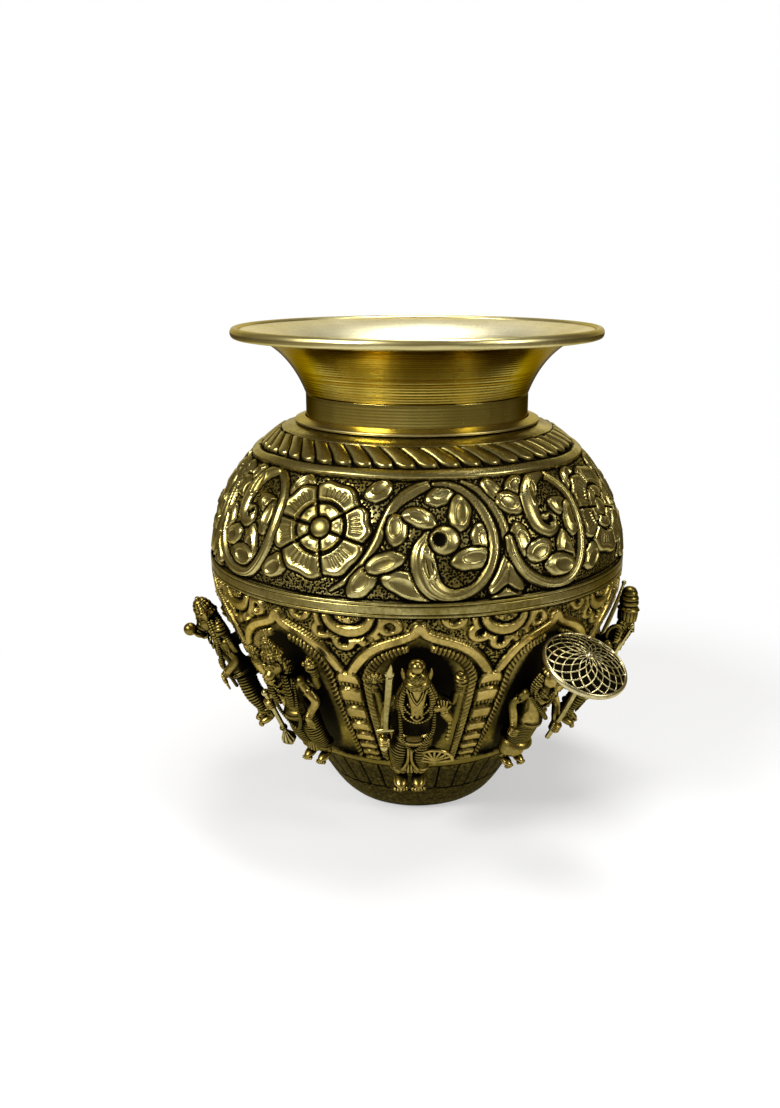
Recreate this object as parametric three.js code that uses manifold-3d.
// Brass kalash: a round-bellied ritual pot with a flared mouth and ten cast figures standing round its
// lower belly. The pot is two beaten half shells joined by a band, with a turned neck brazed on top.
// Millimetres, +Z up, origin at the middle of the base, front towards -Y.
import * as THREE from "three";
import Module from "manifold-3d";
import { mergeVertices } from "three/addons/utils/BufferGeometryUtils.js";

const wasm = await Module();
wasm.setup();

// Driving dimensions of the vessel
const SHEET = 1.1; // wall of the two beaten shells
const FIT = 0.3; // brazing gap left between neighbouring pieces
const BASE_RADIUS = 21.9; // where the rounded foot meets the table
const BASE_PLATE_THICKNESS = 1.2;
const FOOT_RADIUS = 29.5; // where the rounded foot turns into the straight flank
const FOOT_HEIGHT = 8;
const BELLY_RADIUS = 65.4; // widest circle of the sheet
const BELLY_HEIGHT = 82;
const DOME_RISE = 52.4; // the shoulder is a quarter ellipse this tall
const FLANK_SLOPE = 0.62; // sideways run of the flank for each millimetre up, at the foot
const FLANK_LOWER_PULL = 32; // how far the flank keeps the slope of the foot
const FLANK_UPPER_PULL = 25; // how far the flank keeps upright under the belly
const SHOULDER_RADIUS = 41.5; // where the ellipse ends and the flat shoulder begins
const SHOULDER_RISE = 1.5; // climb of the flat shoulder up to the neck
const LAP = 3; // the upper shell tucks this far into the lower one
const SEAM_DROP = 1.6; // the seam lies this far below the widest circle
const BAND_HEIGHT = 4.3;
const BAND_THICKNESS = 0.6;
const COLLAR_RADIUS = 34.8;
const COLLAR_WALL = 1.1;
const COLLAR_ABOVE_SHOULDER = 8;
const COLLAR_BELOW_SHOULDER = 3.2;
const SHOULDER_RING_WIDTH = 3.2;
const SHOULDER_RING_HEIGHT = 1.1;
const MOUTH_WALL = 1.05;
const MOUTH_SLEEVE = 6; // length of the mouth's sleeve inside the collar
const MOUTH_RISE = 18.4; // from the collar up to the lip's underside
const MOUTH_RADIUS = 54.8; // edge of the lip, inside the bead
const BEAD_RADIUS = 1.35;
const TURNS = 40; // facets round the pot: four to each bay

// Driving dimensions of the embossing
const UPPER_GROUND = -0.4; // lift of the punched ground over the sheet's outline, upper shell
const UPPER_TOP = 0.75; // lift of rosettes and scrolls over the sheet's outline
const PLAIN_RING_TOP = 0.6; // plain moulding over the frieze
const GADROON_TOP = 0.35; // mean surface of the slanting lobes under the neck
const LOWER_TOP = 0.85; // lift of arches and columns, lower shell
const FOOT_RING_TOP = 0.6;
const RELIEF_ROOT = -0.75; // depth in the sheet at which raised forms start
const ROOT_SPREAD = 1.3; // how much wider a form is at its root than at the ground
const FRIEZE_LOW = 82.9; // heights on the outline between which the patterns lie
const FRIEZE_HIGH = 114;
const FRINGE_HIGH = 78.6;
const GADROON_LOW = 116.3;
const GADROON_HIGH = 121.7;
const FOOT_RING_LOW = 21.3;
const FOOT_RING_HIGH = 24.5;
const REPEATS = 4; // of the frieze round the pot
const FRIEZE_ROW = 9; // longest step along the outline of the embossed zones
const STEP_RUN = 0.35; // length along the outline of half a step from one lift to the next
const FRIEZE_DRAWN_LOW = 96.2; // arcs of FRIEZE_LOW and FRINGE_HIGH in the drawings of the patterns
const FRINGE_DRAWN_HIGH = 91.6;

// Driving dimensions of the figures: each stands in a bay of its own, leaning out with the flank
const BAYS = 10;
const BAY_LOW = 20; // heights on the flank that set the lean of a bay
const BAY_HIGH = 70;
const STATURE = 50; // sole to crown of the drawn figure, scaled for each bay
const ROD_RADIUS = 0.75; // wire that the held things are made of
const ROD_FIT = 0.2; // room round a wire in the fist that holds it

const V = (x, out, up) => new THREE.Vector3(x, -out, up); // a point in a bay: sideways, outwards, up
const bayAngle = (bay) => (bay * 2 * Math.PI) / BAYS;

// Solids

// A three.js geometry as a solid, with its shared vertices merged.
function solid(geometry) {
  const bare = geometry.index ? geometry.toNonIndexed() : geometry.clone();
  bare.deleteAttribute("normal");
  bare.deleteAttribute("uv");
  const merged = mergeVertices(bare, 1e-4);
  return new wasm.Manifold(
    new wasm.Mesh({
      numProp: 3,
      vertProperties: new Float32Array(merged.attributes.position.array),
      triVerts: new Uint32Array(merged.index.array),
    }),
  );
}

function geometryOf(body) {
  const mesh = body.getMesh();
  const geometry = new THREE.BufferGeometry();
  geometry.setAttribute("position", new THREE.BufferAttribute(new Float32Array(mesh.vertProperties), 3));
  geometry.setIndex(new THREE.BufferAttribute(new Uint32Array(mesh.triVerts), 1));
  geometry.computeVertexNormals();
  return geometry;
}

const fuse = (bodies) => bodies.reduce((all, body) => all.add(body));

// A closed profile of [radius, height] points turned about the pot's axis.
function turned(profile, turns = TURNS) {
  const points = profile.map(([r, z]) => new THREE.Vector2(r, z));
  if (points[0].x > 0) points.push(points[0].clone());
  const geometry = new THREE.LatheGeometry(points, turns);
  geometry.rotateX(Math.PI / 2);
  return geometry;
}

function blob(at, rx, rout, rup, around = 6, down = 4) {
  const geometry = new THREE.SphereGeometry(1, around, down);
  geometry.rotateX(Math.PI / 2);
  geometry.scale(rx, rout, rup);
  geometry.translate(at.x, at.y, at.z);
  return solid(geometry);
}

// A straight tapered rod from a to b.
function rod(a, b, ra, rb, sides = 6) {
  const along = b.clone().sub(a);
  const geometry = new THREE.CylinderGeometry(rb, ra, along.length(), sides);
  const upright = new THREE.Vector3(0, 1, 0);
  geometry.applyQuaternion(new THREE.Quaternion().setFromUnitVectors(upright, along.normalize()));
  const middle = a.clone().add(b).multiplyScalar(0.5);
  geometry.translate(middle.x, middle.y, middle.z);
  return solid(geometry);
}

// Rings of vertices, the same number in each, joined into one closed body with a point at each end.
function skin(first, rings, last) {
  const sides = rings[0].length;
  const points = [first, ...rings.flat(), last];
  const end = points.length - 1;
  const index = [];
  for (let j = 0; j < sides; j++) {
    const k = (j + 1) % sides;
    index.push(0, 1 + k, 1 + j);
    index.push(end, end - sides + j, end - sides + k);
    for (let i = 0; i + 1 < rings.length; i++) {
      const low = 1 + i * sides;
      const high = low + sides;
      index.push(low + j, low + k, high + k);
      index.push(low + j, high + k, high + j);
    }
  }
  const geometry = new THREE.BufferGeometry().setFromPoints(points);
  geometry.setIndex(index);
  return solid(geometry);
}

// A limb of round section through the given points, with rounded ends.
function limb(points, radii, sides = 6) {
  const last = points.length - 1;
  const along = points.map((p, i) =>
    points[Math.min(i + 1, last)].clone().sub(points[Math.max(i - 1, 0)]).normalize(),
  );
  const reference = Math.abs(along[0].x) > 0.8 ? new THREE.Vector3(0, 0, 1) : new THREE.Vector3(1, 0, 0);
  const rings = points.map((p, i) => {
    const across = reference.clone().addScaledVector(along[i], -reference.dot(along[i])).normalize();
    const upright = along[i].clone().cross(across);
    return Array.from({ length: sides }, (_, j) => {
      const t = (2 * Math.PI * j) / sides;
      return p
        .clone()
        .addScaledVector(across, radii[i] * Math.cos(t))
        .addScaledVector(upright, radii[i] * Math.sin(t));
    });
  });
  const first = points[0].clone().addScaledVector(along[0], -0.6 * radii[0]);
  const tip = points[last].clone().addScaledVector(along[last], 0.6 * radii[last]);
  return skin(first, rings, tip);
}

// An upright body of oval section: each level is [up, half width, half depth, out].
function stack(levels, sides = 8) {
  const rings = levels.map(([up, wide, deep, out]) =>
    Array.from({ length: sides }, (_, j) => {
      const t = (2 * Math.PI * (j + 0.5)) / sides;
      return V(wide * Math.cos(t), out - deep * Math.sin(t), up);
    }),
  );
  const [bottom, top] = [levels[0], levels[levels.length - 1]];
  return skin(V(0, bottom[3], bottom[0] - 0.2), rings, V(0, top[3], top[0] + 0.2));
}

function slab(at, width, depth, height) {
  const geometry = new THREE.BoxGeometry(width, depth, height);
  geometry.translate(at.x, at.y, at.z);
  return solid(geometry);
}

// A flat plate cut to an outline drawn in a bay's (sideways, up) plane, its middle lying at `out`.
function plate(outline, out, thickness) {
  const shape = new THREE.Shape(outline.map(([x, up]) => new THREE.Vector2(x, up)));
  const geometry = new THREE.ExtrudeGeometry(shape, { depth: thickness, bevelEnabled: false });
  geometry.translate(0, 0, -thickness / 2);
  geometry.rotateX(Math.PI / 2);
  geometry.translate(0, -out, 0);
  return solid(geometry);
}

// A wire of round section bent along a curve.
function wire(curve, radius, steps = 10, sides = 8) {
  const section = new THREE.Shape();
  section.absarc(0, 0, radius, 0, 2 * Math.PI);
  const geometry = new THREE.ExtrudeGeometry(section, {
    steps,
    curveSegments: sides / 2,
    extrudePath: curve,
    bevelEnabled: false,
  });
  return solid(geometry);
}

// The pot's outline

// The sheet's outer surface from the foot to the shoulder, as [radius, height] points.
const FLANK_POINTS = 7;
const DOME_POINTS = 6;
const foot = new THREE.QuadraticBezierCurve(
  new THREE.Vector2(BASE_RADIUS, 0),
  new THREE.Vector2(FOOT_RADIUS - FLANK_SLOPE * (FOOT_HEIGHT - 1), 1),
  new THREE.Vector2(FOOT_RADIUS, FOOT_HEIGHT),
);
const flank = new THREE.CubicBezierCurve(
  new THREE.Vector2(FOOT_RADIUS, FOOT_HEIGHT),
  new THREE.Vector2(FOOT_RADIUS + FLANK_SLOPE * FLANK_LOWER_PULL, FOOT_HEIGHT + FLANK_LOWER_PULL),
  new THREE.Vector2(BELLY_RADIUS, BELLY_HEIGHT - FLANK_UPPER_PULL),
  new THREE.Vector2(BELLY_RADIUS, BELLY_HEIGHT),
);
const lowerPoints = [...foot.getPoints(2), ...flank.getPoints(FLANK_POINTS).slice(1)];
const lowerOutline = lowerPoints.map((p) => [p.x, p.y]);

// Height of the dome where its radius is r.
const domeHeight = (r) => BELLY_HEIGHT + DOME_RISE * Math.sqrt(1 - (r / BELLY_RADIUS) ** 2);
const SHOULDER_HEIGHT = domeHeight(SHOULDER_RADIUS);
const NECK_ROOT_HEIGHT = SHOULDER_HEIGHT + SHOULDER_RISE;
const OPENING_RADIUS = COLLAR_RADIUS + FIT;

const domeOutline = [];
const domeEnd = Math.acos(SHOULDER_RADIUS / BELLY_RADIUS);
for (let i = 0; i <= DOME_POINTS; i++) {
  const t = (domeEnd * i) / DOME_POINTS;
  domeOutline.push([BELLY_RADIUS * Math.cos(t), BELLY_HEIGHT + DOME_RISE * Math.sin(t)]);
}

// Outer radius of the sheet at a height, read off the same outline.
function shellRadius(z) {
  const outline = [...lowerOutline, ...domeOutline.slice(1)];
  const i = Math.max(1, outline.findIndex(([, height]) => height >= z));
  const [[r0, z0], [r1, z1]] = [outline[i - 1], outline[i]];
  return r0 + ((r1 - r0) * (z - z0)) / (z1 - z0);
}

// The outline moved inwards, square to itself, by a wall.
function inset(outline, wall) {
  return outline.map(([r, z], i) => {
    const [ra, za] = outline[Math.max(0, i - 1)];
    const [rb, zb] = outline[Math.min(outline.length - 1, i + 1)];
    const length = Math.hypot(rb - ra, zb - za);
    return [r - (wall * (zb - za)) / length, z + (wall * (rb - ra)) / length];
  });
}

// The outline from one height to another, with a point of its own at each end.
function between(outline, low, high) {
  const at = (z) => {
    const i = Math.max(1, outline.findIndex(([, height]) => height >= z));
    const [[r0, z0], [r1, z1]] = [outline[i - 1], outline[i]];
    return [r0 + ((r1 - r0) * (z - z0)) / (z1 - z0), z];
  };
  return [at(low), ...outline.filter(([, z]) => z > low + 0.2 && z < high - 0.2), at(high)];
}

const SEAM_HEIGHT = BELLY_HEIGHT - SEAM_DROP;

// Flat disc let into the open bottom of the lower shell.
const basePlate = turned([
  [0, 0],
  [BASE_RADIUS - SHEET - FIT, 0],
  [BASE_RADIUS - SHEET - FIT, BASE_PLATE_THICKNESS],
  [0, BASE_PLATE_THICKNESS],
]);

// Relief of the two shells, drawn in degrees round the pot and millimetres of arc up its outline

const topOfShoulder = new THREE.Vector2(OPENING_RADIUS, NECK_ROOT_HEIGHT);
const fineDome = Array.from({ length: 120 }, (_, i) => {
  const t = (domeEnd * (i + 1)) / 120;
  return new THREE.Vector2(BELLY_RADIUS * Math.cos(t), BELLY_HEIGHT + DOME_RISE * Math.sin(t));
});
const fineOutline = [...foot.getPoints(40), ...flank.getPoints(160).slice(1), ...fineDome, topOfShoulder];
const arcs = fineOutline.map(() => 0);
for (let i = 1; i < arcs.length; i++) arcs[i] = arcs[i - 1] + fineOutline[i].distanceTo(fineOutline[i - 1]);

// Arc at which the outline reaches a height.
function arcAt(z) {
  const i = fineOutline.findIndex((p) => p.y >= z);
  const [low, high] = [fineOutline[i - 1], fineOutline[i]];
  return arcs[i - 1] + ((arcs[i] - arcs[i - 1]) * (z - low.y)) / (high.y - low.y);
}

// Radius and height at an arc, lifted square off the outline.
function liftedOutline(arc, lift) {
  const i = Math.max(1, arcs.findIndex((a) => a >= arc));
  const share = (arc - arcs[i - 1]) / (arcs[i] - arcs[i - 1]);
  const along = fineOutline[i].clone().sub(fineOutline[i - 1]).normalize();
  const at = fineOutline[i - 1].clone().lerp(fineOutline[i], share);
  return [at.x + lift * along.y, at.y - lift * along.x];
}

function onPot(angle, arc, lift) {
  const [r, z] = liftedOutline(arc, lift);
  const turn = (angle * Math.PI) / 180;
  return new THREE.Vector3(r * Math.sin(turn), -r * Math.cos(turn), z);
}

// A raised disc, as wide as given at the sheet and a little narrower at its flat top.
const DISC_SLOPE = 0.9;
function disc([u, v], reach, corners, top) {
  const ring = (lift, radius) =>
    Array.from({ length: corners }, (_, i) => {
      const t = (2 * Math.PI * (i + 0.5)) / corners;
      return onPot(u + radius * Math.cos(t), v + radius * Math.sin(t), lift);
    });
  const rings = [ring(RELIEF_ROOT, reach), ring(top, reach - DISC_SLOPE)];
  return skin(onPot(u, v, RELIEF_ROOT), rings, onPot(u, v, top));
}

// A raised ridge along a path, half as wide at the ground as given at each of its points.
function ridge(path, widths, top) {
  const last = path.length - 1;
  const rings = path.map(([u, v], i) => {
    const [ua, va] = path[Math.max(i - 1, 0)];
    const [ub, vb] = path[Math.min(i + 1, last)];
    const reach = (ROOT_SPREAD * widths[i]) / Math.hypot(ub - ua, vb - va);
    const [du, dv] = [(va - vb) * reach, (ub - ua) * reach];
    return [onPot(u + du, v + dv, RELIEF_ROOT), onPot(u, v, top), onPot(u - du, v - dv, RELIEF_ROOT)];
  });
  const inside = (i) => onPot(...path[i], (RELIEF_ROOT + top) / 2);
  return skin(inside(0), rings, inside(last));
}

// Lower half of the belly, open at the bottom for the disc and at the top for the upper shell, with an arch
// over each bay and a column between bays.
const COLUMN_ANGLES = [20.5, 54.5, 90, 126, 162, 198, 234, 270, 303.5, 341];
const COLUMN_LINE = [32, 52, 71]; // arcs from its foot to its cap
const COLUMN_HALF_WIDTH = 3.4;
const ARCH_HALF_WIDTH = 1.4;
const ARCH_LINE = [
  [-0.9, 72.6], // share of the half bay, arc
  [-0.5, 82.8],
  [0, 88.4],
  [0.5, 82.8],
  [0.9, 72.6],
];

function lowerRelief() {
  const shift = arcAt(FRINGE_HIGH) - FRINGE_DRAWN_HIGH;
  const even = (path, halfWidth) => ridge(path, path.map(() => halfWidth), LOWER_TOP);
  return COLUMN_ANGLES.flatMap((angle, i) => {
    const next = i + 1 < BAYS ? COLUMN_ANGLES[i + 1] : COLUMN_ANGLES[0] + 360;
    const half = (next - angle) / 2;
    const arch = ARCH_LINE.map(([share, arc]) => [angle + half + share * half, arc + shift]);
    const column = COLUMN_LINE.map((arc) => [angle, arc + shift]);
    return [even(arch, ARCH_HALF_WIDTH), even(column, COLUMN_HALF_WIDTH)];
  });
}

function lowerShell() {
  const ring = [FOOT_RING_LOW, FOOT_RING_HIGH].map((z) => arcAt(z));
  const outside = [
    ...between(lowerOutline, 0, FOOT_RING_LOW),
    liftedOutline(ring[0] + STEP_RUN, FOOT_RING_TOP),
    liftedOutline(ring[1] - STEP_RUN, FOOT_RING_TOP),
    ...between(lowerOutline, FOOT_RING_HIGH, SEAM_HEIGHT),
  ];
  const inside = between(inset(lowerOutline, SHEET), BASE_PLATE_THICKNESS, SEAM_HEIGHT);
  const foot = [[BASE_RADIUS - SHEET, 0]];
  return fuse([solid(turned([...outside, ...inside.reverse(), ...foot])), ...lowerRelief()]);
}

// Rosette and scrolls of one repeat of the frieze: places as (angle, arc), half widths along each scroll.
const ROSETTE = [-26.2, 115.4];
const ROSETTE_REACH = 13.6;
const ROSETTE_CORNERS = 8;
const scrolls = [
  { path: [[-20.4, 99], [-11, 110], [-6.6, 122.2], [2.4, 129.2]], widths: [0.8, 1.2, 1.6, 1.6] },
  {
    path: [[5.6, 129.6], [16.6, 124.6], [20.4, 112.6], [15.6, 100.4], [5.6, 98.6], [1, 109], [7.6, 116]],
    widths: [1.1, 1.5, 1.8, 1.6, 2.5, 2.7, 1.5],
  },
  {
    path: [[24.6, 110], [29.6, 100.2], [40.6, 97.7], [48.6, 108], [48, 124]],
    widths: [1.3, 1.6, 1.6, 1.6, 1.6],
  },
  { path: [[41.2, 129.6], [33.8, 124.6], [34.2, 114.6]], widths: [1.6, 2.7, 2.2] },
];

function upperRelief() {
  const shift = arcAt(FRIEZE_LOW) - FRIEZE_DRAWN_LOW;
  return Array.from({ length: REPEATS }, (_, repeat) => {
    const place = ([u, v]) => [u + (repeat * 360) / REPEATS, v + shift];
    return [
      disc(place(ROSETTE), ROSETTE_REACH, ROSETTE_CORNERS, UPPER_TOP),
      ...scrolls.map(({ path, widths }) => ridge(path.map(place), widths, UPPER_TOP)),
    ];
  }).flat();
}

// The frieze's ground, the plain ring and the ring of lobes, as steps of the turned outline.
function embossedOutline() {
  const steps = [
    [FRIEZE_LOW, FRIEZE_HIGH, UPPER_GROUND],
    [FRIEZE_HIGH, GADROON_LOW, PLAIN_RING_TOP],
    [GADROON_LOW, GADROON_HIGH, GADROON_TOP],
  ];
  return steps.flatMap(([low, high, lift]) => {
    const [from, to] = [arcAt(low) + STEP_RUN, arcAt(high) - STEP_RUN];
    const rows = Math.ceil((to - from) / FRIEZE_ROW);
    return Array.from({ length: rows + 1 }, (_, i) => liftedOutline(from + ((to - from) * i) / rows, lift));
  });
}

// Upper half: the dome, with its lower edge drawn in so that it laps inside the lower shell.
function upperShell() {
  const seamGap = FIT / 2;
  const lapOutside = shellRadius(SEAM_HEIGHT - LAP) - SHEET - FIT;
  const outside = [
    [lapOutside, SEAM_HEIGHT + seamGap],
    [shellRadius(SEAM_HEIGHT), SEAM_HEIGHT + seamGap],
    domeOutline[0],
    ...embossedOutline(),
    liftedOutline(arcAt(GADROON_HIGH) + STEP_RUN, 0),
    [SHOULDER_RADIUS, SHOULDER_HEIGHT],
    [OPENING_RADIUS, NECK_ROOT_HEIGHT],
  ];
  const inside = [
    [OPENING_RADIUS, NECK_ROOT_HEIGHT - SHEET],
    ...inset(domeOutline, SHEET).reverse().slice(0, -1),
    [lapOutside - SHEET, BELLY_HEIGHT],
    [lapOutside - SHEET, SEAM_HEIGHT - LAP],
  ];
  return fuse([solid(turned([[lapOutside, SEAM_HEIGHT - LAP], ...outside, ...inside])), ...upperRelief()]);
}

// Plain strip soldered over the seam.
function bellyBand() {
  const inner = BELLY_RADIUS + FIT / 2;
  const low = BELLY_HEIGHT - BAND_HEIGHT * 0.8;
  const high = low + BAND_HEIGHT;
  const round = BAND_THICKNESS * 0.6;
  return turned([
    [inner, low],
    [inner + BAND_THICKNESS - round / 2, low],
    [inner + BAND_THICKNESS, low + round],
    [inner + BAND_THICKNESS, high - round],
    [inner + BAND_THICKNESS - round / 2, high],
    [inner, high],
  ]);
}

// Plain raised ring on the flat shoulder, round the root of the neck.
const shoulderTop = (r) =>
  NECK_ROOT_HEIGHT - ((r - OPENING_RADIUS) * SHOULDER_RISE) / (SHOULDER_RADIUS - OPENING_RADIUS);
function shoulderRing() {
  const inner = OPENING_RADIUS;
  const outer = inner + SHOULDER_RING_WIDTH;
  const seat = (r) => shoulderTop(r) + FIT;
  return turned([
    [inner, seat(inner)],
    [outer, seat(outer)],
    [outer, seat(outer) + SHOULDER_RING_HEIGHT * 0.5],
    [outer - SHOULDER_RING_WIDTH * 0.25, seat(outer) + SHOULDER_RING_HEIGHT],
    [inner, seat(inner) + SHOULDER_RING_HEIGHT],
  ]);
}

// Turned collar: it stands in the shell's opening and carries the mouth's sleeve.
const COLLAR_TOP = NECK_ROOT_HEIGHT + COLLAR_ABOVE_SHOULDER;
function neckCollar() {
  const inner = COLLAR_RADIUS - COLLAR_WALL;
  return turned([
    [COLLAR_RADIUS, NECK_ROOT_HEIGHT - COLLAR_BELOW_SHOULDER],
    [COLLAR_RADIUS, COLLAR_TOP],
    [inner, COLLAR_TOP],
    [inner, NECK_ROOT_HEIGHT - COLLAR_BELOW_SHOULDER],
  ]);
}

// Flared mouth: a sleeve inside the collar, then a trumpet that opens into a broad flat lip.
const MOUTH_FOOT = COLLAR_TOP + FIT / 2;
const LIP_HEIGHT = MOUTH_FOOT + MOUTH_RISE;
const SLEEVE_RADIUS = COLLAR_RADIUS - COLLAR_WALL - FIT;
function flaredMouth() {
  const trumpet = new THREE.CubicBezierCurve(
    new THREE.Vector2(COLLAR_RADIUS, MOUTH_FOOT),
    new THREE.Vector2(COLLAR_RADIUS + 2.2, MOUTH_FOOT + MOUTH_RISE * 0.33),
    new THREE.Vector2(COLLAR_RADIUS + 7.7, MOUTH_FOOT + MOUTH_RISE * 0.9),
    new THREE.Vector2(MOUTH_RADIUS, LIP_HEIGHT),
  );
  const outside = trumpet.getPoints(6).map((p) => [p.x, p.y]);
  const inside = inset(outside, MOUTH_WALL).slice(1).reverse();
  return turned([
    [SLEEVE_RADIUS, MOUTH_FOOT - MOUTH_SLEEVE],
    [SLEEVE_RADIUS, MOUTH_FOOT],
    ...outside,
    ...inside,
    [SLEEVE_RADIUS - MOUTH_WALL, MOUTH_FOOT],
    [SLEEVE_RADIUS - MOUTH_WALL, MOUTH_FOOT - MOUTH_SLEEVE],
  ]);
}

// Thick round bead brazed round the edge of the lip, flat on the side that meets it.
function rimBead() {
  const centre = MOUTH_RADIUS + FIT / 2 + BEAD_RADIUS * 0.85;
  const height = LIP_HEIGHT + MOUTH_WALL / 2;
  const profile = [];
  const steps = 6;
  const open = Math.acos(-0.85);
  for (let i = 0; i <= steps; i++) {
    const t = -open + (2 * open * i) / steps;
    profile.push([centre + BEAD_RADIUS * Math.cos(t), height + BEAD_RADIUS * Math.sin(t)]);
  }
  return turned(profile);
}

// The bays

const BAY_FOOT_RADIUS = shellRadius(BAY_LOW);
const LEAN = Math.atan2(shellRadius(BAY_HIGH) - BAY_FOOT_RADIUS, BAY_HIGH - BAY_LOW);

// The group that a bay's pieces hang in: turned to its place and leaning out with the flank.
function bayGroup(bay) {
  const turn = new THREE.Group();
  turn.rotation.z = bayAngle(bay);
  const lean = new THREE.Group();
  lean.position.set(0, -BAY_FOOT_RADIUS, BAY_LOW);
  lean.rotation.x = LEAN;
  turn.add(lean);
  return { turn, lean };
}

// The pot's body grown by the brazing gap, seen from inside a bay: it cuts the back of each figure.
const potInBay = (() => {
  const grown = inset([...lowerOutline, ...domeOutline.slice(1)], -FIT);
  const body = solid(turned([[0, grown[0][1]], ...grown, [0, grown[grown.length - 1][1]]]));
  const { lean } = bayGroup(0);
  lean.updateMatrixWorld(true);
  return body.transform(lean.matrixWorld.clone().invert().elements);
})();

const sized = (body, scale, up) => body.scale([scale, scale, scale]).translate([0, 0, up]);
const pair = (make) => [make(-1), make(1)];

// Parts of a figure, drawn STATURE tall with its soles at zero

const BODY_OUT = 6.6; // how far the middle of the body stands off the bay's line
const LEG_X = 2.7;
const SHOULDER_UP = 33.2;

// Levels of a body from hips to neck, to which a head's levels are added.
const trunk = [
  [17.4, 4.4, 3.2, BODY_OUT],
  [20.4, 5.5, 3.8, BODY_OUT],
  [25, 3.8, 2.9, BODY_OUT],
  [30, 5.2, 3.7, BODY_OUT],
  [33.6, 6.3, 2.8, BODY_OUT],
  [35.2, 2.4, 2.2, BODY_OUT + 0.2],
];
const face = (out) => [
  [36.4, 1.8, 1.9, out - 0.6],
  [38, 2.5, 2.9, out],
  [41.4, 2.8, 2.9, out],
];
// A tiered crown with a ball on top, from its brow band up.
const crown = (up, out, radius, height) => [
  [up, radius * 1.15, radius * 1.15, out],
  [up + height * 0.3, radius * 1.15, radius * 1.15, out],
  [up + height * 0.36, radius * 0.9, radius * 0.9, out],
  [up + height * 0.76, radius * 0.42, radius * 0.42, out],
  [up + height * 0.84, radius * 0.6, radius * 0.6, out],
  [up + height, radius * 0.35, radius * 0.35, out],
];

function legs() {
  return pair((side) => [
    blob(V(side * LEG_X, BODY_OUT + 1.9, 1.2), 1.5, 2.7, 1.2),
    limb([1.6, 5, 19].map((up) => V(side * LEG_X, BODY_OUT, up)), [1.2, 2.3, 2.9]),
  ]).flat();
}

// The two lugs behind the body that the figure is soldered on by.
function backLugs() {
  return [30, 18].map((up) => rod(V(0, -3, up), V(0, BODY_OUT, up), 3, 3));
}

function arm(side, elbow, hand, fist = 1.5) {
  const shoulder = V(side * 5, BODY_OUT - 0.6, SHOULDER_UP - 0.8);
  const wrist = hand.clone().lerp(elbow, 0.25);
  return limb([shoulder, elbow, wrist, hand], [1.7, 1.35, 1, fist]);
}

const RAISED_OUT = 4.6; // the raised arms stay behind whatever the front ones hold

// A rear arm raised beside the head, holding up a round disc or a conch.
function raisedArm(side, object) {
  const hand = V(side * 10.9, RAISED_OUT, 36.4);
  const reach = arm(side, V(side * 9.2, RAISED_OUT, 30.4), hand, 1.2);
  const middle = V(side * 10.9, RAISED_OUT, 38.8);
  const half = V(0, 0.6, 0); // of the disc's thickness
  const wheel = () => rod(middle.clone().add(half), middle.clone().sub(half), 2.5, 2.5, 10);
  if (object === "disc") return fuse([reach, wheel()]);
  const conch = [hand, V(side * 11.1, RAISED_OUT, 38.6), V(side * 10.8, RAISED_OUT, 42)];
  return fuse([reach, limb(conch, [1.1, 2, 0.5])]);
}
const raisedArms = () => [raisedArm(-1, "disc"), raisedArm(1, "conch")];

function manHead() {
  return [
    stack([...trunk, ...face(7.8), ...crown(42, 7.4, 2.7, 8)]),
    blob(V(0, 10.6, 39.4), 0.55, 0.6, 1),
    ...pair((side) => blob(V(side * 2.8, 7.4, 38), 0.9, 0.9, 1.9)),
  ];
}

// Horse's head looking down its own chest, with ringlets and a low round cap.
function horseHead() {
  const cap = [[42, 3.3, 3.3, 7], [46.4, 2.9, 2.9, 7], [46.8, 1.9, 1.9, 7], [49.2, 1.4, 1.4, 7]];
  const ringlet = (side) => [V(side * 3.4, 6.8, 40), V(side * 4.1, 8, 35), V(side * 3.5, 8.4, 30.4)];
  return [
    stack([...trunk, ...face(7.2), ...cap]),
    limb([V(0, 8.2, 40.4), V(0, 9.9, 35), V(0, 10.4, 31.6)], [2.7, 1.7, 1.8], 8),
    ...pair((side) => limb([V(side * 2.4, 6.6, 41.4), V(side * 3.8, 6.4, 45)], [1.1, 0.3])),
    ...pair((side) => limb(ringlet(side), [1.3, 1.6, 1.2])),
  ];
}

// Lion's head: short broad muzzle in a round mane.
function lionHead() {
  return [
    stack([...trunk, ...face(8.2), ...crown(42.6, 7, 2.6, 7.4)]),
    limb([V(0, 9, 39), V(0, 11.2, 38.2)], [2.3, 1.7], 8),
    blob(V(0, 6.4, 39.4), 4.9, 2.4, 4.9, 10, 4),
    ...pair((side) => blob(V(side * 2.9, 7.8, 43), 1, 0.8, 1.3)),
  ];
}

// Boar's head: a blunt snout between two tusks, carrying a ball.
function boarHead() {
  return [
    stack([...trunk, ...face(7.8), ...crown(42.4, 6.8, 2.9, 7.6)]),
    limb([V(0, 8.6, 40), V(0, 12.2, 38.2)], [2.5, 1.5], 8),
    blob(V(0, 13.4, 41), 2.1, 2.1, 2.1, 8, 5),
    ...pair((side) => limb([V(side * 1.4, 10.8, 38), V(side * 1.9, 13, 39.4)], [0.6, 0.35])),
    ...pair((side) => limb([V(side * 2.2, 7.2, 41.4), V(side * 3.8, 6.6, 44.6)], [1.1, 0.3])),
  ];
}

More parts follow.
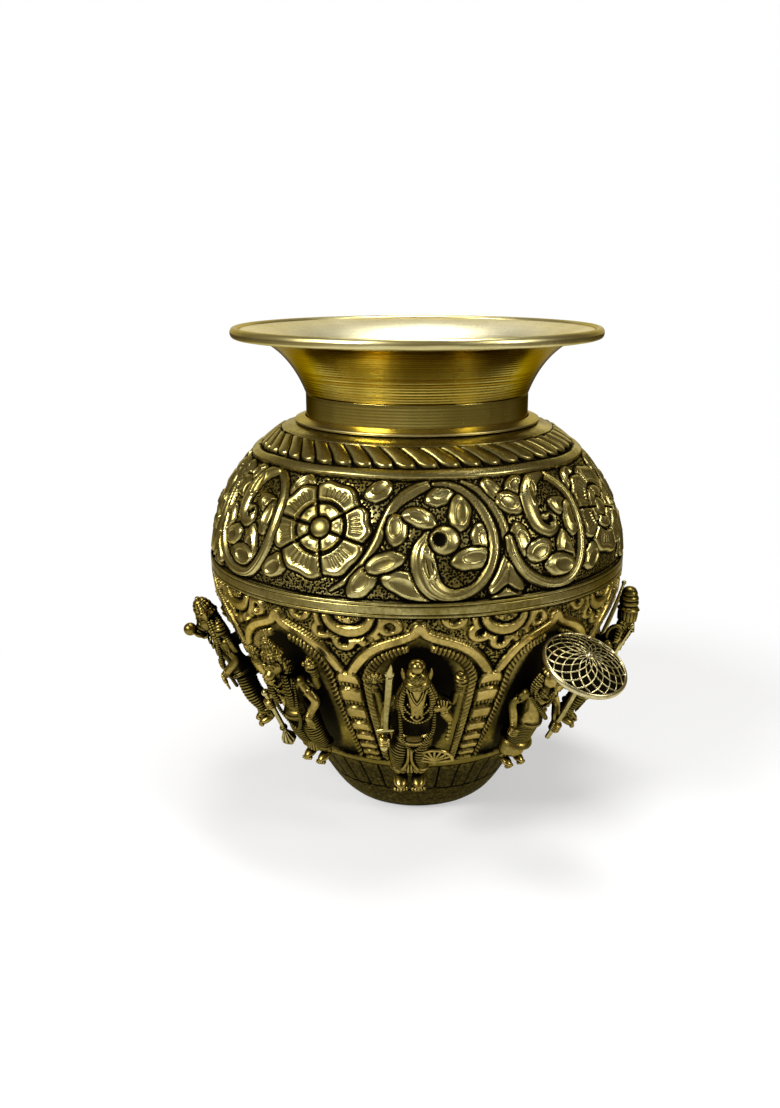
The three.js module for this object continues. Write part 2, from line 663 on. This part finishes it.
// A fish's body and forked tail in place of legs.
function fishTail() {
  const half = [[0, 7], [3.2, 3.6], [6.4, 0.4], [3.6, 0.8], [0, 2.8]];
  const left = half.slice(1, -1).map(([x, up]) => [-x, up]).reverse();
  const body = [[4, 1.6, 1.3], [9, 3.6, 2.7], [15, 5.4, 3.9], [20.4, 5.6, 3.8]];
  return [
    stack(body.map((level) => [...level, BODY_OUT])),
    plate([...half, ...left], BODY_OUT, 1.3),
    ...pair((side) => limb([V(side * 4, BODY_OUT, 16), V(side * 8, BODY_OUT, 12)], [1.7, 0.6])),
  ];
}

// A domed tortoise shell with four paws and a stub of tail in place of legs.
function tortoiseBody() {
  return [
    blob(V(0, BODY_OUT - 0.6, 12.4), 7.4, 4.8, 8.6, 10, 6),
    ...pair((side) => limb([V(side * 5, BODY_OUT, 17), V(side * 9, BODY_OUT + 0.6, 19)], [1.6, 1.3])),
    ...pair((side) => limb([V(side * 4.2, BODY_OUT, 7), V(side * 7.4, BODY_OUT + 1, 2.2)], [1.7, 1.4])),
    limb([V(0, BODY_OUT, 5), V(0, BODY_OUT + 0.6, 1.4)], [1, 0.4]),
  ];
}

// Ribbed fan resting against the leg: half a disc, its straight edge down.
function fan(x, out, up, radius) {
  const ellipse = new THREE.EllipseCurve(x, up, radius, radius * 0.85, 0, Math.PI);
  const arc = ellipse.getPoints(8).map((p) => [p.x, p.y]);
  return plate(arc, out, 1);
}

// Things held: each is a piece of its own, passed through a bored fist

const staff = (a, b, radius) => rod(a, b, radius, radius, 8);
function onStaff(a, b, extras) {
  return { body: fuse([staff(a, b, ROD_RADIUS), ...extras]), bore: staff(a, b, ROD_RADIUS + ROD_FIT) };
}

const HOLD_OUT = 9.4; // things are held in front of the forearm, clear of it
const things = {
  sword() {
    const [pommel, guard] = [V(-8.8, HOLD_OUT, 16.8), V(-8.4, HOLD_OUT, 24)];
    const left = [[-9.4, 23.8], [-8.8, 31], [-8.2, 39], [-7.9, 46]];
    const right = [[-5.7, 46], [-6.3, 39], [-6.8, 31], [-7.4, 23.8]];
    const made = onStaff(pommel, guard, [
      blob(pommel, 1.2, 1.2, 1.2),
      slab(guard, 4.2, 1.5, 0.9),
      plate([...left, [-6.5, 50], ...right], HOLD_OUT, 1),
    ]);
    return { ...made, fist: V(-8.63, HOLD_OUT, 20) };
  },
  mace() {
    const [top, foot] = [V(-9.4, HOLD_OUT - 0.2, 26), V(-8.6, HOLD_OUT + 0.4, 6.6)];
    const knobs = [blob(foot, 2.2, 2.2, 2.6, 8, 5), blob(top, 1.2, 1.2, 1.2)];
    return { ...onStaff(top, foot, knobs), fist: V(-9.24, HOLD_OUT - 0.08, 22) };
  },
  axe() {
    const [top, foot] = [V(-10.2, HOLD_OUT - 0.2, 44), V(-8.4, HOLD_OUT + 0.2, 15)];
    const blade = [[-10.4, 42.6], [-13, 44.8], [-14.2, 41.2], [-13.2, 37.4], [-10.1, 39]];
    const head = plate(blade, HOLD_OUT - 0.15, 1);
    return { ...onStaff(top, foot, [head, blob(foot, 1.2, 1.2, 1.2)]), fist: V(-8.96, HOLD_OUT + 0.08, 24) };
  },
  bow() {
    const ends = [V(-7, HOLD_OUT, 3), V(-8.2, HOLD_OUT, 44)];
    const curve = new THREE.QuadraticBezierCurve3(ends[0], V(-14.6, HOLD_OUT, 22), ends[1]);
    return { body: wire(curve, ROD_RADIUS), bore: wire(curve, ROD_RADIUS + ROD_FIT), fist: curve.getPoint(0.5) };
  },
  plough() {
    const [top, foot] = [V(-10, HOLD_OUT - 0.2, 44), V(-8.4, HOLD_OUT + 0.2, 13)];
    const share = limb([top, V(-12.4, HOLD_OUT, 45.8), V(-14.6, HOLD_OUT, 42.6)], [0.9, 1.1, 0.5]);
    const held = onStaff(top, foot, [share, blob(foot, 1.2, 1.2, 1.2)]);
    return { ...held, fist: V(-8.97, HOLD_OUT + 0.06, 24) };
  },
  flute() {
    const [left, right] = [V(-2, 11.9, 37.3), V(11.5, 10.4, 35.4)];
    return { ...onStaff(left, right, []), fist: V(4.2, 11.21, 36.43), second: V(8.8, 10.7, 35.78) };
  },
};

// Low and high are the heights of the soles and of the crown's top in the bay.
const [STAND_LOW, STAND_HIGH] = [13, 62];
const HAND_DOWN = V(8, 9.4, 20);
const HAND_RAISED = V(7.4, 9.6, 31);
const ELBOW_LEFT = V(-8.2, 5.2, 28);
const ELBOW_RIGHT = V(8.2, 7, 26.4);
const figures = [
  {
    name: "horse_headed_figure",
    bounds: [6, 60.2],
    holds: "sword",
    parts: (fist) => [
      ...legs(),
      ...horseHead(),
      ...raisedArms(),
      arm(-1, ELBOW_LEFT, fist, 1.9),
      arm(1, ELBOW_RIGHT, V(6.6, 8.6, 33)),
      fan(4.6, 9.4, 9.6, 5.6),
      blob(V(4.6, 8.4, 11), 1.6, 2.4, 3.6),
    ],
  },
  {
    name: "parasol_bearer",
    bounds: [9, 54.5],
    holds: null,
    parts: () => [
      ...legs(),
      ...manHead(),
      arm(-1, ELBOW_LEFT, HAND_DOWN.clone().setX(-7.6)),
      arm(1, ELBOW_RIGHT, PARASOL_FIST, 2.1),
    ],
  },
  {
    name: "axe_bearer",
    bounds: [STAND_LOW, STAND_HIGH],
    holds: "axe",
    parts: (fist) => [
      ...legs(),
      ...manHead(),
      arm(-1, ELBOW_LEFT, fist, 1.9),
      arm(1, ELBOW_RIGHT, HAND_DOWN),
    ],
  },
  {
    name: "bow_bearer",
    bounds: [STAND_LOW, STAND_HIGH],
    holds: "bow",
    parts: (fist) => [
      ...legs(),
      ...manHead(),
      arm(-1, ELBOW_LEFT, fist, 1.9),
      arm(1, ELBOW_RIGHT, HAND_RAISED),
    ],
  },
  {
    name: "plough_bearer",
    bounds: [STAND_LOW, STAND_HIGH],
    holds: "plough",
    parts: (fist) => [
      ...legs(),
      ...manHead(),
      arm(-1, ELBOW_LEFT, fist, 1.9),
      arm(1, ELBOW_RIGHT, HAND_DOWN),
    ],
  },
  {
    name: "flute_player",
    bounds: [STAND_LOW, STAND_HIGH],
    holds: "flute",
    parts: (fist, second) => [
      ...legs(),
      ...manHead(),
      arm(-1, V(-6, 11, 28.4), fist, 1.5),
      arm(1, V(9.6, 8, 28.6), second, 1.5),
      ...[fist, second].map((hand) => blob(hand, 2, 2, 2, 8, 5)),
    ],
  },
  {
    name: "fish_bodied_figure",
    bounds: [STAND_LOW, STAND_HIGH],
    holds: null,
    parts: () => [
      ...fishTail(),
      ...manHead(),
      ...raisedArms(),
      arm(-1, ELBOW_LEFT, V(-7.4, 9.6, 21)),
      arm(1, ELBOW_RIGHT, HAND_RAISED),
    ],
  },
  {
    name: "tortoise_bodied_figure",
    bounds: [STAND_LOW, STAND_HIGH],
    holds: null,
    parts: () => [
      ...tortoiseBody(),
      ...manHead(),
      ...raisedArms(),
      arm(-1, ELBOW_LEFT, V(-7.4, 9.6, 31)),
      arm(1, ELBOW_RIGHT, HAND_RAISED),
    ],
  },
  {
    name: "boar_headed_figure",
    bounds: [13.5, 62.5],
    holds: null,
    parts: () => [
      ...legs(),
      ...boarHead(),
      ...raisedArms(),
      arm(-1, ELBOW_LEFT, V(-6.4, 11.6, 22)),
      arm(1, ELBOW_RIGHT, V(6.6, 12.8, 22.4)),
    ],
  },
  {
    name: "lion_headed_figure",
    bounds: [12, 61.5],
    holds: "mace",
    parts: (fist) => [
      ...legs(),
      ...lionHead(),
      ...raisedArms(),
      arm(-1, ELBOW_LEFT, fist, 1.9),
      arm(1, V(9.4, 7.6, 27), V(6.4, 10.2, 21.4)),
    ],
  },
];

// The parasol

const CANOPY_RADIUS = 12;
const CANOPY_RISE = 3.4;
const CANOPY_WALL = 0.9;
const CANOPY_RIM = 0.8; // radius of the wire round the canopy's edge
const CANOPY_AT = V(3.8, 13.1, 55.6); // middle of the canopy's rim circle, in its bay

// Shallow dome with a wire edge and a small boss on top.
function parasolCanopy() {
  const steps = 5;
  const outside = [];
  const inside = [];
  for (let i = 0; i <= steps; i++) {
    const r = CANOPY_RADIUS * (1 - i / steps);
    const lift = CANOPY_RISE * (1 - (r / CANOPY_RADIUS) ** 2);
    outside.push([r, lift]);
    inside.push([r, lift - CANOPY_WALL]);
  }
  const rim = CANOPY_RADIUS + CANOPY_RIM / 2;
  const profile = [
    [CANOPY_RADIUS - CANOPY_RIM, -CANOPY_WALL - CANOPY_RIM / 2],
    [rim, -CANOPY_WALL - CANOPY_RIM / 2],
    [rim + CANOPY_RIM / 2, -CANOPY_WALL / 2],
    [rim, CANOPY_RIM / 2],
    ...outside.slice(1, -1),
    [1.3, CANOPY_RISE + 0.1],
    [0.9, CANOPY_RISE + 0.9],
    [0, CANOPY_RISE + 1.1],
    ...inside.slice(1).reverse(),
  ];
  const dome = solid(turned(profile, 20));
  return dome.translate([CANOPY_AT.x, CANOPY_AT.y, CANOPY_AT.z]);
}

// Wire from the bearer's fist up to the middle of the canopy, bowed as it was bent by hand.
const STICK_FOOT = V(6.4, 11.6, 22);
const stickCurve = new THREE.QuadraticBezierCurve3(
  STICK_FOOT,
  V(9, 12.4, 42),
  CANOPY_AT.clone().add(V(0, 0, CANOPY_RISE - CANOPY_WALL - 2 * FIT)),
);

const BEARER = figures.find((figure) => figure.name === "parasol_bearer");
const BEARER_SCALE = (BEARER.bounds[1] - BEARER.bounds[0]) / STATURE;
const PARASOL_FIST = stickCurve.getPoint(0.12).sub(V(0, 0, BEARER.bounds[0])).divideScalar(BEARER_SCALE);

// Assembly

const tone = (name, color, roughness) =>
  new THREE.MeshStandardMaterial({ name, color, roughness, metalness: 1 });
const turnedBrass = tone("turned_brass", 0xb59a45, 0.28);
const beatenBrass = tone("beaten_brass", 0x9a8340, 0.38);
const castBrass = tone("cast_brass", 0xa08435, 0.35);

function piece(name, geometry, material) {
  const mesh = new THREE.Mesh(geometry, material);
  mesh.name = name;
  return mesh;
}

const kalash = new THREE.Group();
kalash.add(
  piece("base_plate", basePlate, beatenBrass),
  piece("lower_shell", geometryOf(lowerShell()), beatenBrass),
  piece("upper_shell", geometryOf(upperShell()), beatenBrass),
  piece("belly_band", bellyBand(), beatenBrass),
  piece("shoulder_ring", shoulderRing(), turnedBrass),
  piece("neck_collar", neckCollar(), turnedBrass),
  piece("flared_mouth", flaredMouth(), turnedBrass),
  piece("rim_bead", rimBead(), turnedBrass),
);

figures.forEach(({ name, bounds, holds, parts }, bay) => {
  const { turn, lean } = bayGroup(bay);
  const [low, high] = bounds;
  const scale = (high - low) / STATURE;
  const thing = holds && things[holds]();
  let body = fuse([...parts(thing?.fist, thing?.second), ...backLugs()]);
  if (thing) body = body.subtract(thing.bore);
  body = sized(body, scale, low).subtract(potInBay);
  if (name === "parasol_bearer") body = body.subtract(wire(stickCurve, ROD_RADIUS + ROD_FIT));
  lean.add(piece(name, geometryOf(body), castBrass));
  if (thing) lean.add(piece(holds, geometryOf(sized(thing.body, scale, low)), castBrass));
  if (name === "parasol_bearer") {
    lean.add(piece("parasol_stick", geometryOf(wire(stickCurve, ROD_RADIUS)), castBrass));
    lean.add(piece("parasol_canopy", geometryOf(parasolCanopy()), castBrass));
  }
  kalash.add(turn);
});

export default kalash;
